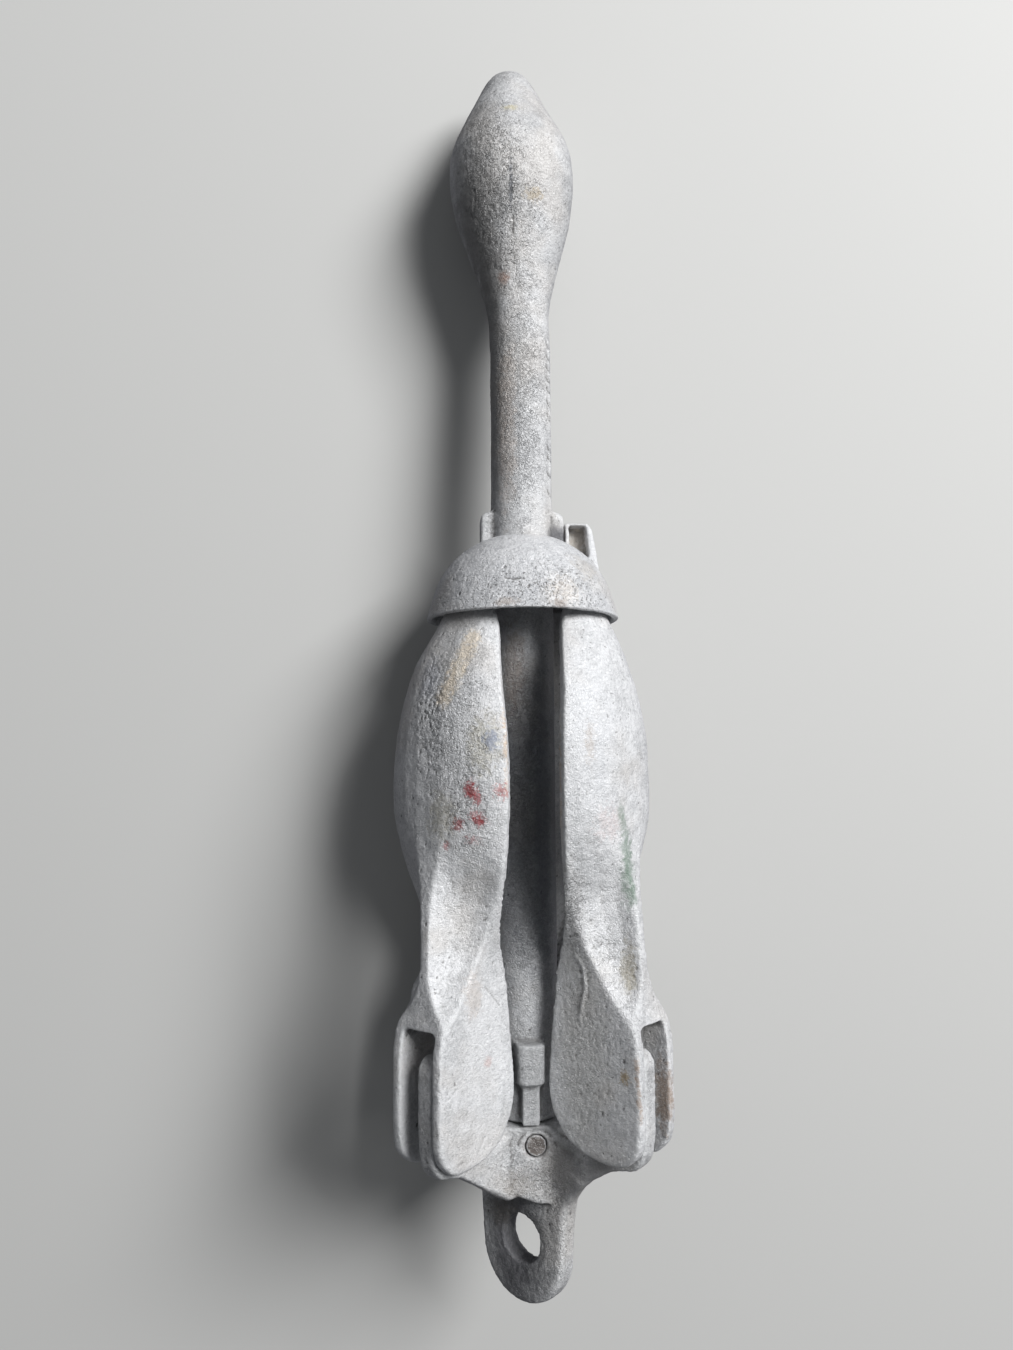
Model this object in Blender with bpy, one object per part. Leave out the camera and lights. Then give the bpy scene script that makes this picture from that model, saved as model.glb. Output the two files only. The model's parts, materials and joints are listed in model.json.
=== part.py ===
"""Folding grapnel anchor, closed, hot-dip galvanised.

Run it with: blender --background --python part.py
Every piece is drawn about the shank's own axis: local +Y runs from the eye
to the pear-shaped head, and Y = 0 is the end of the eye plate. The empty
"anchor_axis" carries the whole anchor and leans it as it rests on the ground.
"""
import math

import bmesh
import bpy
from mathutils import Matrix, Vector

MM = 0.001

# ---- rest on the ground -------------------------------------------------
REST_LEAN = math.radians(5.51)     # it lies on two palms and the head, so the head end is lower
REST_HEIGHT = 55.65 * MM           # shank axis above the ground at Y = 0
REST_SHIFT = -199.0 * MM           # puts the middle of the anchor over the origin

# ---- shank --------------------------------------------------------------
SHANK_R = 10.0 * MM
TENON_R = 7.5 * MM
TENON_FOOT = 36.6 * MM
SHOULDER_Y = 56.4 * MM
TOP_Y = 398.6 * MM
HEAD_PROFILE = [                   # height and radius of the pear-shaped head
    (300.0, 10.0), (309.0, 10.0), (313.0, 10.2), (318.5, 11.1), (325.5, 12.9),
    (332.5, 15.0), (339.0, 17.0), (345.0, 18.8), (350.0, 19.8), (356.0, 20.6),
    (362.0, 20.8), (367.0, 20.5), (372.5, 18.8), (378.0, 16.0), (384.0, 12.9),
    (389.5, 10.2), (393.6, 8.1), (396.4, 5.9), (397.9, 2.8),
]
HEAD_LEAN = -3.2 * MM              # the casting bends sideways towards its tip
HEAD_LEAN_FROM = 303.0 * MM
HEAD_BEND = 1.5                    # above 1, most of that bend is by the neck
UPPER_LUG_TOP = 246.3 * MM
UPPER_LUG_FOOT = 229.5 * MM
LUG_REACH = 13.6 * MM
LUG_HALF = 4.0 * MM
LOWER_LUG_TOP = 80.4 * MM
LOWER_LUG_FOOT = 68.4 * MM
LOWER_LUG_REACH = 14.4 * MM
LOWER_LUG_HALF_TOP = 5.0 * MM
LOWER_LUG_HALF_FOOT = 4.8 * MM
RIB_HALF = 2.7 * MM
RIB_REACH = 12.6 * MM

# ---- crown --------------------------------------------------------------
HUB_HALF = 12.0 * MM
HUB_FOOT = 33.4 * MM
HUB_TOP = 56.1 * MM
HUB_SLOPE_FROM = 4.0 * MM          # the foot slopes up from this radius
HUB_SLOPE_RISE = 9.0 * MM
SOCKET_R = 7.8 * MM
SOCKET_FOOT = 36.3 * MM
ARM_HALF = 2.9 * MM
PIVOT_R = 32.7 * MM                # fluke pins from the shank axis
PIVOT_Y = 69.3 * MM
ARM_OUT = 45.5 * MM
ARM_TOP = 82.8 * MM
ARM_ROOT_HALF = 4.2 * MM           # the arms are thicker where they leave the hub
EYE_PLATE_HALF = 3.6 * MM
EYE_PLATE_WIDTH = 16.6 * MM
EYE_END_R = 15.6 * MM
EYE_END_Y = 1.1 * MM
EYE_Y = 19.9 * MM
EYE_R = 7.2 * MM
CROWN_PIN_R = 3.2 * MM
CROWN_PIN_X = 1.6 * MM             # it was set a little off the middle
CROWN_PIN_Y = 50.3 * MM
CROWN_PIN_RECESS = 0.8 * MM
SEAT_GAP = 0.3 * MM

# ---- flukes -------------------------------------------------------------
CHEEK_HALF = 9.7 * MM
SLOT_HALF = 6.15 * MM
SLOT_TOP = 89.4 * MM
FLUKE_PIN_R = 3.0 * MM
FLUKE_SLIP = SLOT_HALF - ARM_HALF - SEAT_GAP   # each fork has slid down its pin
FLUKES = [
    ("fluke_upper_right", 45.0), ("fluke_upper_left", 135.0),
    ("fluke_lower_left", 225.0), ("fluke_lower_right", 315.0),
]
# The castings aren't quite alike: how far a palm is bent sideways and twisted.
PALM_BEND = {"fluke_upper_left": 1.9 * MM}
PALM_TWIST = {"fluke_upper_right": math.radians(3.7)}
PALM_MIDDLE_R = 33.0 * MM
# One row is a cross-section of a fluke, in millimetres:
# Y | outer r, spine half | flank pull r, t | crease r, t | inner edge r, t | inner r
FLUKE_SECTIONS = [
    (49.9, 37.6, 4.0, 37.6, 8.6, 37.0, 8.9, 33.6, 8.9, 33.0),
    (51.2, 41.0, 7.6, 41.4, 9.4, 40.4, 9.6, 26.6, 9.4, 25.8),
    (54.0, 44.2, 8.5, 44.3, 9.6, 43.3, 9.7, 21.0, 9.6, 20.4),
    (58.5, 45.9, 8.7, 46.0, 9.6, 45.0, 9.7, 16.9, 9.6, 16.3),
    (63.5, 46.3, 8.7, 46.3, 9.7, 45.3, 9.7, 14.4, 9.6, 13.8),
    (69.3, 46.3, 8.7, 46.3, 9.7, 45.3, 9.7, 13.6, 9.6, 13.3),
    (81.6, 46.1, 8.7, 46.1, 9.7, 45.1, 9.7, 14.7, 9.6, 14.3),
    (88.4, 45.1, 8.8, 45.1, 9.7, 44.1, 9.7, 15.4, 9.6, 15.6),
    (92.2, 44.1, 8.2, 43.4, 8.4, 41.9, 9.7, 15.7, 9.6, 17.6),
    (96.6, 43.4, 4.8, 40.0, 5.4, 38.0, 9.7, 16.1, 9.6, 19.6),
    (103.4, 42.6, 2.0, 34.8, 2.6, 33.3, 9.8, 17.0, 9.6, 21.6),
    (111.5, 41.8, 1.8, 31.0, 2.6, 28.9, 11.0, 20.4, 11.6, 24.2),
    (124.1, 40.5, 2.2, 30.0, 4.6, 27.4, 16.0, 24.9, 17.2, 28.0),
    (132.0, 39.6, 3.2, 32.6, 8.2, 28.6, 19.4, 26.0, 19.2, 30.2),
    (139.0, 39.0, 4.4, 36.2, 12.6, 29.2, 21.6, 26.2, 20.2, 31.6),
    (149.4, 38.7, 5.0, 38.2, 16.4, 30.0, 23.3, 26.7, 21.4, 32.5),
    (158.8, 38.6, 5.0, 38.0, 17.0, 30.2, 23.7, 26.9, 21.7, 32.7),
    (173.7, 38.0, 5.0, 37.4, 16.4, 29.7, 22.7, 26.5, 20.8, 32.3),
    (183.0, 36.9, 5.0, 36.2, 15.0, 28.9, 20.7, 25.7, 19.0, 31.4),
    (196.0, 33.9, 4.0, 33.2, 12.2, 26.4, 17.4, 23.4, 15.4, 28.6),
    (203.0, 31.0, 3.4, 30.4, 10.2, 24.8, 14.6, 21.8, 12.8, 26.2),
    (210.4, 27.4, 3.0, 27.1, 7.8, 23.2, 11.4, 20.6, 9.8, 23.4),
    (214.8, 25.6, 2.4, 25.5, 5.6, 22.8, 7.8, 20.8, 6.8, 22.6),
    (217.1, 24.4, 1.2, 24.4, 3.0, 23.2, 4.4, 21.8, 3.8, 22.4),
]

# ---- collar -------------------------------------------------------------
COLLAR_RIM = 210.8 * MM
COLLAR_BORE = 10.3 * MM
COLLAR_OUTSIDE = [
    (211.2, 31.1), (213.2, 30.5), (215.7, 29.8), (219.4, 28.7), (222.8, 27.4),
    (226.0, 25.7), (228.9, 23.6), (231.6, 20.9), (233.9, 18.0), (235.7, 15.0),
    (236.9, 12.4),
]
COLLAR_TOP = 237.5 * MM
COLLAR_INSIDE = [
    (211.3, 29.0), (214.5, 28.2), (218.0, 26.9), (221.6, 25.0), (225.0, 22.5),
    (228.0, 19.3), (230.0, 16.2),
]
COLLAR_BOSS_FOOT = 230.6 * MM
KEYWAY_REACH = 13.9 * MM
KEYWAY_HALF = 4.5 * MM
HOOD_IN = 13.4 * MM
HOOD_OUT_TOP = 22.6 * MM
HOOD_OUT_FOOT = 25.2 * MM
HOOD_TOP = 243.2 * MM
HOOD_FRONT = 2.6 * MM
HOOD_BACK = -5.0 * MM
HOOD_WALL = 1.9 * MM

TURN_STEPS = 44
RINGS_BETWEEN = 2


def clear_scene():
    for obj in list(bpy.data.objects):
        bpy.data.objects.remove(obj, do_unlink=True)


def material(name, colour, roughness, metallic):
    mat = bpy.data.materials.new(name)
    mat.use_nodes = True
    shader = mat.node_tree.nodes["Principled BSDF"]
    shader.inputs["Base Color"].default_value = (*colour, 1.0)
    shader.inputs["Roughness"].default_value = roughness
    shader.inputs["Metallic"].default_value = metallic
    mat.diffuse_color = (*colour, 1.0)
    return mat


def add_object(name, bm, parent=None, mat=None, smooth=True):
    bmesh.ops.recalc_face_normals(bm, faces=bm.faces)
    mesh = bpy.data.meshes.new(name)
    bm.to_mesh(mesh)
    bm.free()
    for poly in mesh.polygons:
        poly.use_smooth = smooth
    obj = bpy.data.objects.new(name, mesh)
    bpy.context.scene.collection.objects.link(obj)
    obj.parent = parent
    if mat:
        mesh.materials.append(mat)
    return obj


def combine(target, other, operation):
    """One exact Boolean, kept in the target's mesh; the other piece goes away."""
    bpy.context.view_layer.update()
    mod = target.modifiers.new("combine", "BOOLEAN")
    mod.operation = operation
    mod.solver = "EXACT"
    mod.object = other
    graph = bpy.context.evaluated_depsgraph_get()
    fresh = bpy.data.meshes.new_from_object(target.evaluated_get(graph))
    target.modifiers.clear()
    old = target.data
    fresh.name = old.name
    target.data = fresh
    bpy.data.meshes.remove(old)
    bpy.data.objects.remove(other, do_unlink=True)


def turned(points, steps=TURN_STEPS):
    """Turn a closed outline of (y, r) about the Y axis; r = 0 ends on the axis."""
    bm = bmesh.new()
    rows = []
    for y, r in points:
        if r < 1e-7:
            rows.append([bm.verts.new((0.0, y, 0.0))])
            continue
        ring = []
        for k in range(steps):
            a = math.tau * k / steps
            ring.append(bm.verts.new((r * math.cos(a), y, r * math.sin(a))))
        rows.append(ring)
    closed = points[0][1] > 1e-7
    pairs = list(zip(rows, rows[1:]))
    if closed:
        pairs.append((rows[-1], rows[0]))
    for low, high in pairs:
        for k in range(steps):
            n = (k + 1) % steps
            if len(low) == 1:
                bm.faces.new((low[0], high[k], high[n]))
            elif len(high) == 1:
                bm.faces.new((low[k], high[0], low[n]))
            else:
                bm.faces.new((low[k], high[k], high[n], low[n]))
    return bm


def block(x0, x1, y0, y1, z0, z1):
    bm = bmesh.new()
    bmesh.ops.create_cube(bm, size=1.0)
    size = Matrix.Diagonal((x1 - x0, y1 - y0, z1 - z0, 1.0))
    place = Matrix.Translation(((x0 + x1) / 2, (y0 + y1) / 2, (z0 + z1) / 2))
    bmesh.ops.transform(bm, matrix=place @ size, verts=bm.verts)
    return bm


def rod(radius, length, centre, axis, steps=20):
    """A round bar along axis, centred on centre."""
    bm = bmesh.new()
    bmesh.ops.create_cone(bm, cap_ends=True, segments=steps, radius1=radius,
                          radius2=radius, depth=length)
    turn = Vector((0.0, 0.0, 1.0)).rotation_difference(Vector(axis)).to_matrix().to_4x4()
    bmesh.ops.transform(bm, matrix=Matrix.Translation(centre) @ turn, verts=bm.verts)
    return bm


def plate(outline, half, edge=0.0):
    """An outline of (x, y) made into a plate of thickness 2 * half about z = 0."""
    bm = bmesh.new()
    low = [bm.verts.new((x, y, -half)) for x, y in outline]
    face = bm.faces.new(low)
    grown = bmesh.ops.extrude_face_region(bm, geom=[face])
    moved = [g for g in grown["geom"] if isinstance(g, bmesh.types.BMVert)]
    bmesh.ops.translate(bm, vec=(0.0, 0.0, 2 * half), verts=moved)
    bmesh.ops.recalc_face_normals(bm, faces=bm.faces)
    if edge > 0.0:
        rims = [e for e in bm.edges
                if abs(e.verts[0].co.z - e.verts[1].co.z) < 1e-7]
        bmesh.ops.bevel(bm, geom=rims, offset=edge, segments=2, profile=0.5,
                        affect="EDGES", clamp_overlap=True)
    return bm


def turn_about_axis(bm, degrees):
    """Swing a piece drawn in the X-Y plane round the shank axis."""
    bmesh.ops.transform(bm, matrix=Matrix.Rotation(-math.radians(degrees), 4, "Y"),
                        verts=bm.verts)
    return bm


def arc(cx, cy, r, a0, a1, steps):
    out = []
    for k in range(steps + 1):
        a = math.radians(a0 + (a1 - a0) * k / steps)
        out.append((cx + r * math.cos(a), cy + r * math.sin(a)))
    return out


def smooth_value(keys, values, x):
    """Monotone cubic through (keys, values)."""
    n = len(keys)
    k = 0
    while k < n - 2 and x > keys[k + 1]:
        k += 1
    h = keys[k + 1] - keys[k]
    slopes = [(values[i + 1] - values[i]) / (keys[i + 1] - keys[i]) for i in range(n - 1)]

    def tangent(i):
        if i == 0:
            return slopes[0]
        if i == n - 1:
            return slopes[-1]
        a = slopes[i - 1]
        b = slopes[i]
        if a * b <= 0.0:
            return 0.0
        return 2 * a * b / (a + b)

    t = (x - keys[k]) / h
    t2 = t * t
    t3 = t2 * t
    return ((2 * t3 - 3 * t2 + 1) * values[k] + (t3 - 2 * t2 + t) * h * tangent(k)
            + (3 * t2 - 2 * t3) * values[k + 1] + (t3 - t2) * h * tangent(k + 1))


def fluke_half_section(row):
    """Points (r, t) from the middle of the outside round to the middle inside."""
    (r_out, spine, pull_r, pull_t, crease_r, crease_t,
     inner_r, inner_t, inner_mid) = row
    pts = [(r_out, 0.0)]
    for k in range(5):
        u = k / 4
        a = (1 - u) ** 2
        b = 2 * u * (1 - u)
        c = u * u
        pts.append((a * r_out + b * pull_r + c * crease_r,
                    a * spine + b * pull_t + c * crease_t))
    pts.append(((crease_r + inner_r) / 2, (crease_t + inner_t) / 2))
    pts.append((inner_r, inner_t))
    pts.append((inner_r + (inner_mid - inner_r) * 0.62, inner_t * 0.55))
    pts.append((inner_mid, 0.0))
    return pts


def fluke_shape():
    """The lofted fluke, about its own hinge: x radial, y along the shank, z sideways."""
    keys = [row[0] for row in FLUKE_SECTIONS]
    heights = []
    for low, high in zip(keys, keys[1:]):
        steps = RINGS_BETWEEN if high - low > 3.0 else 1
        heights += [low + (high - low) * k / steps for k in range(steps)]
    heights.append(keys[-1])
    bm = bmesh.new()
    rings = []
    for y in heights:
        row = [smooth_value(keys, [r[c] for r in FLUKE_SECTIONS], y)
               for c in range(1, 10)]
        half = fluke_half_section(row)
        full = half + [(r, -t) for r, t in reversed(half[1:-1])]
        rings.append([bm.verts.new((r * MM - PIVOT_R, y * MM - PIVOT_Y, t * MM))
                      for r, t in full])
    count = len(rings[0])
    for low, high in zip(rings, rings[1:]):
        for k in range(count):
            n = (k + 1) % count
            bm.faces.new((low[k], low[n], high[n], high[k]))
    bm.faces.new(rings[0])
    bm.faces.new(list(reversed(rings[-1])))
    return bm


def bend_palm(mesh, bend, twist):
    """Bends and twists a fluke's palm between its waist and its tip."""
    for v in mesh.vertices:
        y = (v.co.y + PIVOT_Y) / MM
        rise = max(0.0, min(1.0, (y - 96.0) / 34.0)) * max(0.0, min(1.0, (209.0 - y) / 16.0))
        share = rise * rise * (3.0 - 2.0 * rise)
        middle = PALM_MIDDLE_R - PIVOT_R
        out = v.co.x - middle
        side = v.co.z
        c = math.cos(twist * share)
        s = math.sin(twist * share)
        v.co.x = middle + c * out - s * side
        v.co.z = s * out + c * side + bend * share


clear_scene()

zinc_body = material("galvanised_shank", (0.52, 0.53, 0.55), 0.58, 0.35)
zinc_crown = material("galvanised_crown", (0.50, 0.51, 0.53), 0.60, 0.35)
zinc_collar = material("galvanised_collar", (0.53, 0.54, 0.55), 0.58, 0.35)
zinc_fluke = material("galvanised_fluke", (0.55, 0.56, 0.57), 0.58, 0.35)
zinc_pin = material("galvanised_pin", (0.50, 0.51, 0.53), 0.60, 0.35)
rusty_pin = material("rusted_crown_pin", (0.30, 0.20, 0.14), 0.85, 0.10)

anchor = bpy.data.objects.new("anchor_axis", None)
bpy.context.scene.collection.objects.link(anchor)
anchor.rotation_euler = (-REST_LEAN, 0.0, 0.0)
anchor.location = (0.0, REST_SHIFT, REST_HEIGHT)

# ---- shank: tenon, bar, pear-shaped head, lugs and rib in one casting ----
outline = [
    (TENON_FOOT, 0.0), (TENON_FOOT, TENON_R - 0.6 * MM),
    (TENON_FOOT + 0.6 * MM, TENON_R), (SHOULDER_Y, TENON_R),
    (SHOULDER_Y, SHANK_R - 0.4 * MM), (SHOULDER_Y + 0.5 * MM, SHANK_R),
    (120.0 * MM, SHANK_R), (180.0 * MM, SHANK_R), (240.0 * MM, SHANK_R),
]
outline += [(y * MM, r * MM) for y, r in HEAD_PROFILE]
outline += [(TOP_Y, 0.0)]
body_bm = turned(outline)
for v in body_bm.verts:
    reach = max(0.0, v.co.y - HEAD_LEAN_FROM) / (TOP_Y - HEAD_LEAN_FROM)
    v.co.x += HEAD_LEAN * (1.0 - (1.0 - min(1.0, reach)) ** HEAD_BEND)
shank = add_object("shank", body_bm, anchor, zinc_body)

for side in (1.0, -1.0):
    lug = block(side * 8.0 * MM, side * LUG_REACH, UPPER_LUG_FOOT, UPPER_LUG_TOP,
                -LUG_HALF, LUG_HALF)
    for v in lug.verts:
        if abs(v.co.x) > 10.0 * MM:
            v.co.z *= 0.86
    outer_top = [e for e in lug.edges
                 if all(abs(v.co.x) > 10.0 * MM and v.co.y > 240.0 * MM for v in e.verts)]
    bmesh.ops.bevel(lug, geom=outer_top, offset=2.4 * MM, segments=3, profile=0.5,
                    affect="EDGES")
    combine(shank, add_object("lug", lug, anchor), "UNION")

for side in (1.0, -1.0):
    lug = block(-LOWER_LUG_HALF_TOP, LOWER_LUG_HALF_TOP, LOWER_LUG_FOOT, LOWER_LUG_TOP,
                side * 8.0 * MM, side * LOWER_LUG_REACH)
    for v in lug.verts:
        if v.co.y < (LOWER_LUG_FOOT + LOWER_LUG_TOP) / 2:
            v.co.x *= LOWER_LUG_HALF_FOOT / LOWER_LUG_HALF_TOP
        if abs(v.co.z) > 10.0 * MM:
            v.co.x *= 0.86
    outer_long = [e for e in lug.edges
                  if all(abs(v.co.z) > 10.0 * MM for v in e.verts)
                  and abs(e.verts[0].co.y - e.verts[1].co.y) > 5.0 * MM]
    bmesh.ops.bevel(lug, geom=outer_long, offset=2.2 * MM, segments=3, profile=0.5,
                    affect="EDGES")
    combine(shank, add_object("lug", lug, anchor), "UNION")
    rib = block(-RIB_HALF, RIB_HALF, SHOULDER_Y, LOWER_LUG_FOOT + 1.0 * MM,
                side * 8.0 * MM, side * RIB_REACH)
    combine(shank, add_object("rib", rib, anchor), "UNION")

pin_hole = rod(CROWN_PIN_R + SEAT_GAP, 60.0 * MM, (CROWN_PIN_X, CROWN_PIN_Y, 0.0), (0, 0, 1))
combine(shank, add_object("hole", pin_hole, anchor), "DIFFERENCE")

# ---- crown: hub, four arms and the eye plate in one casting ----
hub = block(-HUB_HALF, HUB_HALF, HUB_FOOT, HUB_TOP, -HUB_HALF, HUB_HALF)
top_edges = [e for e in hub.edges if all(v.co.y > HUB_TOP - 1e-6 for v in e.verts)]
bmesh.ops.bevel(hub, geom=top_edges, offset=1.2 * MM, segments=2, profile=0.5,
                affect="EDGES")
crown = add_object("crown", hub, anchor, zinc_crown)

# the hub's foot slopes up to the two corners that the eye plate leaves bare
for azimuth in (FLUKES[1][1], FLUKES[3][1]):
    wedge = plate([(HUB_SLOPE_FROM, HUB_FOOT - 1.0 * MM), (HUB_HALF * 2, HUB_FOOT - 1.0 * MM),
                   (HUB_HALF * 2, HUB_FOOT + HUB_SLOPE_RISE)], HUB_HALF * 2, 0.0)
    turn_about_axis(wedge, azimuth)
    combine(crown, add_object("wedge", wedge, anchor), "DIFFERENCE")

arm_corner = arc(ARM_OUT - 4.6 * MM, ARM_TOP - 4.6 * MM, 4.6 * MM, 0.0, 90.0, 5)
arm_outline = [(4.0 * MM, HUB_FOOT + 1.0 * MM), (12.6 * MM, HUB_FOOT + 1.0 * MM),
               (24.0 * MM, 41.6 * MM), (33.0 * MM, 47.2 * MM)]
arm_outline += arc(37.2 * MM, 55.8 * MM, 7.8 * MM, -62.0, -8.0, 5)
arm_outline += [(ARM_OUT, 60.0 * MM)]
arm_outline += arm_corner
arm_outline += [(29.5 * MM, ARM_TOP), (26.0 * MM, ARM_TOP - 3.0 * MM),
                (20.0 * MM, 64.0 * MM), (14.0 * MM, HUB_TOP - 1.6 * MM),
                (4.0 * MM, HUB_TOP - 1.6 * MM)]
root_outline = [(4.0 * MM, HUB_FOOT + 1.4 * MM), (12.6 * MM, HUB_FOOT + 1.4 * MM),
                (23.6 * MM, 42.0 * MM), (23.6 * MM, 49.0 * MM), (14.4 * MM, 54.0 * MM),
                (4.0 * MM, 54.0 * MM)]
for name, azimuth in FLUKES:
    arm = turn_about_axis(plate(arm_outline, ARM_HALF, 0.5 * MM), azimuth)
    combine(crown, add_object("arm", arm, anchor), "UNION")
    root = plate(root_outline, ARM_ROOT_HALF, 0.6 * MM)
    for v in root.verts:
        if v.co.x > 18.0 * MM:
            v.co.z *= 0.95 * ARM_HALF / ARM_ROOT_HALF
    turn_about_axis(root, azimuth)
    combine(crown, add_object("root", root, anchor), "UNION")

eye_outline = [(EYE_PLATE_WIDTH - 0.4 * MM, 26.0 * MM), (EYE_PLATE_WIDTH, 30.0 * MM),
               (EYE_PLATE_WIDTH + 0.8 * MM, 34.0 * MM), (EYE_PLATE_WIDTH + 3.4 * MM, 37.6 * MM),
               (EYE_PLATE_WIDTH + 7.4 * MM, 41.4 * MM),
               (EYE_PLATE_WIDTH + 4.0 * MM, 44.0 * MM)]
eye_outline += [(-x, y) for x, y in reversed(eye_outline)]
eye_outline += arc(0.0, EYE_END_Y + EYE_END_R, EYE_END_R, 180.0, 360.0, 18)
eye = turn_about_axis(plate(eye_outline, EYE_PLATE_HALF, 1.3 * MM), FLUKES[0][1])
combine(crown, add_object("eye", eye, anchor), "UNION")

tangent = (-math.sin(math.radians(FLUKES[0][1])), 0.0, math.cos(math.radians(FLUKES[0][1])))
eye_hole = rod(EYE_R, 30.0 * MM, (0.0, EYE_Y, 0.0), tangent, 28)
combine(crown, add_object("hole", eye_hole, anchor), "DIFFERENCE")
socket = turned([(SOCKET_FOOT, 0.0), (SOCKET_FOOT, SOCKET_R),
                 (HUB_TOP + 20.0 * MM, SOCKET_R), (HUB_TOP + 20.0 * MM, 0.0)])
combine(crown, add_object("hole", socket, anchor), "DIFFERENCE")
pin_hole = rod(CROWN_PIN_R + SEAT_GAP, 60.0 * MM, (CROWN_PIN_X, CROWN_PIN_Y, 0.0), (0, 0, 1))
combine(crown, add_object("hole", pin_hole, anchor), "DIFFERENCE")
for name, azimuth in FLUKES:
    a = math.radians(azimuth)
    centre = (PIVOT_R * math.cos(a), PIVOT_Y, PIVOT_R * math.sin(a))
    bore = rod(FLUKE_PIN_R + SEAT_GAP, 12.0 * MM, centre, (-math.sin(a), 0.0, math.cos(a)))
    combine(crown, add_object("hole", bore, anchor), "DIFFERENCE")

pin_length = 2 * (HUB_HALF - CROWN_PIN_RECESS)
crown_pin = add_object("crown_pin", rod(CROWN_PIN_R, pin_length, (0, 0, 0), (0, 0, 1)),
                       anchor, rusty_pin)
crown_pin.location = (CROWN_PIN_X, CROWN_PIN_Y, 0.0)

# ---- collar: domed cup with a bore, two keyways and a hollow hood ----
outline = [(COLLAR_RIM, COLLAR_INSIDE[0][1] * MM + 0.6 * MM),
           (COLLAR_RIM, COLLAR_OUTSIDE[0][1] * MM - 0.6 * MM)]
outline += [(y * MM, r * MM) for y, r in COLLAR_OUTSIDE]
outline += [(COLLAR_TOP, COLLAR_BORE + 0.7 * MM), (COLLAR_TOP, COLLAR_BORE),
            (COLLAR_BOSS_FOOT, COLLAR_BORE), (COLLAR_BOSS_FOOT, 14.6 * MM)]
outline += [(y * MM, r * MM) for y, r in reversed(COLLAR_INSIDE)]
collar = add_object("collar", turned(outline, 56), anchor, zinc_collar)

hood = bmesh.new()
corners = [(HOOD_IN, 230.0 * MM), (HOOD_OUT_FOOT, 226.0 * MM),
           (HOOD_OUT_FOOT, 228.6 * MM), (HOOD_OUT_TOP + 0.4 * MM, HOOD_TOP - 2.0 * MM),
           (HOOD_OUT_TOP - 1.2 * MM, HOOD_TOP), (HOOD_IN, HOOD_TOP)]
back = [hood.verts.new((x, y, HOOD_BACK)) for x, y in corners]
hood_face = hood.faces.new(back)
grown = bmesh.ops.extrude_face_region(hood, geom=[hood_face])
bmesh.ops.translate(hood, vec=(0.0, 0.0, HOOD_FRONT - HOOD_BACK),
                    verts=[g for g in grown["geom"] if isinstance(g, bmesh.types.BMVert)])
combine(collar, add_object("hood", hood, anchor), "UNION")
pocket = block(HOOD_IN + HOOD_WALL, HOOD_OUT_TOP - HOOD_WALL, 234.4 * MM,
               HOOD_TOP - 1.0 * MM, HOOD_BACK + HOOD_WALL, 12.0 * MM)
for v in pocket.verts:
    if v.co.y < 236.0 * MM:
        v.co.x += 0.5 * MM
        if v.co.x > 20.0 * MM:
            v.co.x += 0.8 * MM
            v.co.y -= 3.0 * MM
combine(collar, add_object("pocket", pocket, anchor), "DIFFERENCE")
for side in (1.0, -1.0):
    keyway = block(side * 6.0 * MM, side * KEYWAY_REACH, 225.0 * MM, 245.0 * MM,
                   -KEYWAY_HALF, KEYWAY_HALF)
    combine(collar, add_object("keyway", keyway, anchor), "DIFFERENCE")

# ---- flukes and their pins, each about its own hinge ----
pattern = add_object("fluke", fluke_shape())
slot = block(-30.0 * MM, 30.0 * MM, -40.0 * MM, SLOT_TOP - PIVOT_Y, -SLOT_HALF, SLOT_HALF)
slot_edges = [e for e in slot.edges
              if all(v.co.y > 0.0 for v in e.verts)
              and abs(e.verts[0].co.x - e.verts[1].co.x) > 1.0 * MM]
bmesh.ops.bevel(slot, geom=slot_edges, offset=1.2 * MM, segments=2, profile=0.5,
                affect="EDGES")
combine(pattern, add_object("slot", slot), "DIFFERENCE")
bore = rod(FLUKE_PIN_R + SEAT_GAP, 40.0 * MM, (0, 0, 0), (0, 0, 1))
combine(pattern, add_object("hole", bore), "DIFFERENCE")

for name, azimuth in FLUKES:
    a = math.radians(azimuth)
    hinge = (PIVOT_R * math.cos(a), PIVOT_Y, PIVOT_R * math.sin(a))
    down = -1.0 if math.cos(a) > 0.0 else 1.0
    slip = FLUKE_SLIP * down
    mesh = pattern.data.copy()
    mesh.name = name
    bend_palm(mesh, PALM_BEND.get(name, 0.0) * down, PALM_TWIST.get(name, 0.0) * down)
    mesh.transform(Matrix.Translation((0.0, 0.0, slip)))
    mesh.materials.clear()
    mesh.materials.append(zinc_fluke)
    fluke = bpy.data.objects.new(name, mesh)
    bpy.context.scene.collection.objects.link(fluke)
    fluke.parent = anchor
    fluke.location = hinge
    fluke.rotation_euler = (0.0, -a, 0.0)
    pin_bm = rod(FLUKE_PIN_R, 2 * (CHEEK_HALF - SEAT_GAP), (0.0, 0.0, slip), (0, 0, 1))
    pin = add_object(name.replace("fluke", "fluke_pin"), pin_bm, anchor, zinc_pin)
    pin.location = hinge
    pin.rotation_euler = (0.0, -a, 0.0)
bpy.data.objects.remove(pattern, do_unlink=True)
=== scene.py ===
"""Folding grapnel anchor, closed, in weathered hot-dip galvanised iron."""
import json
import math

import bmesh
import bpy
from mathutils import Matrix, Vector, noise


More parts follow.
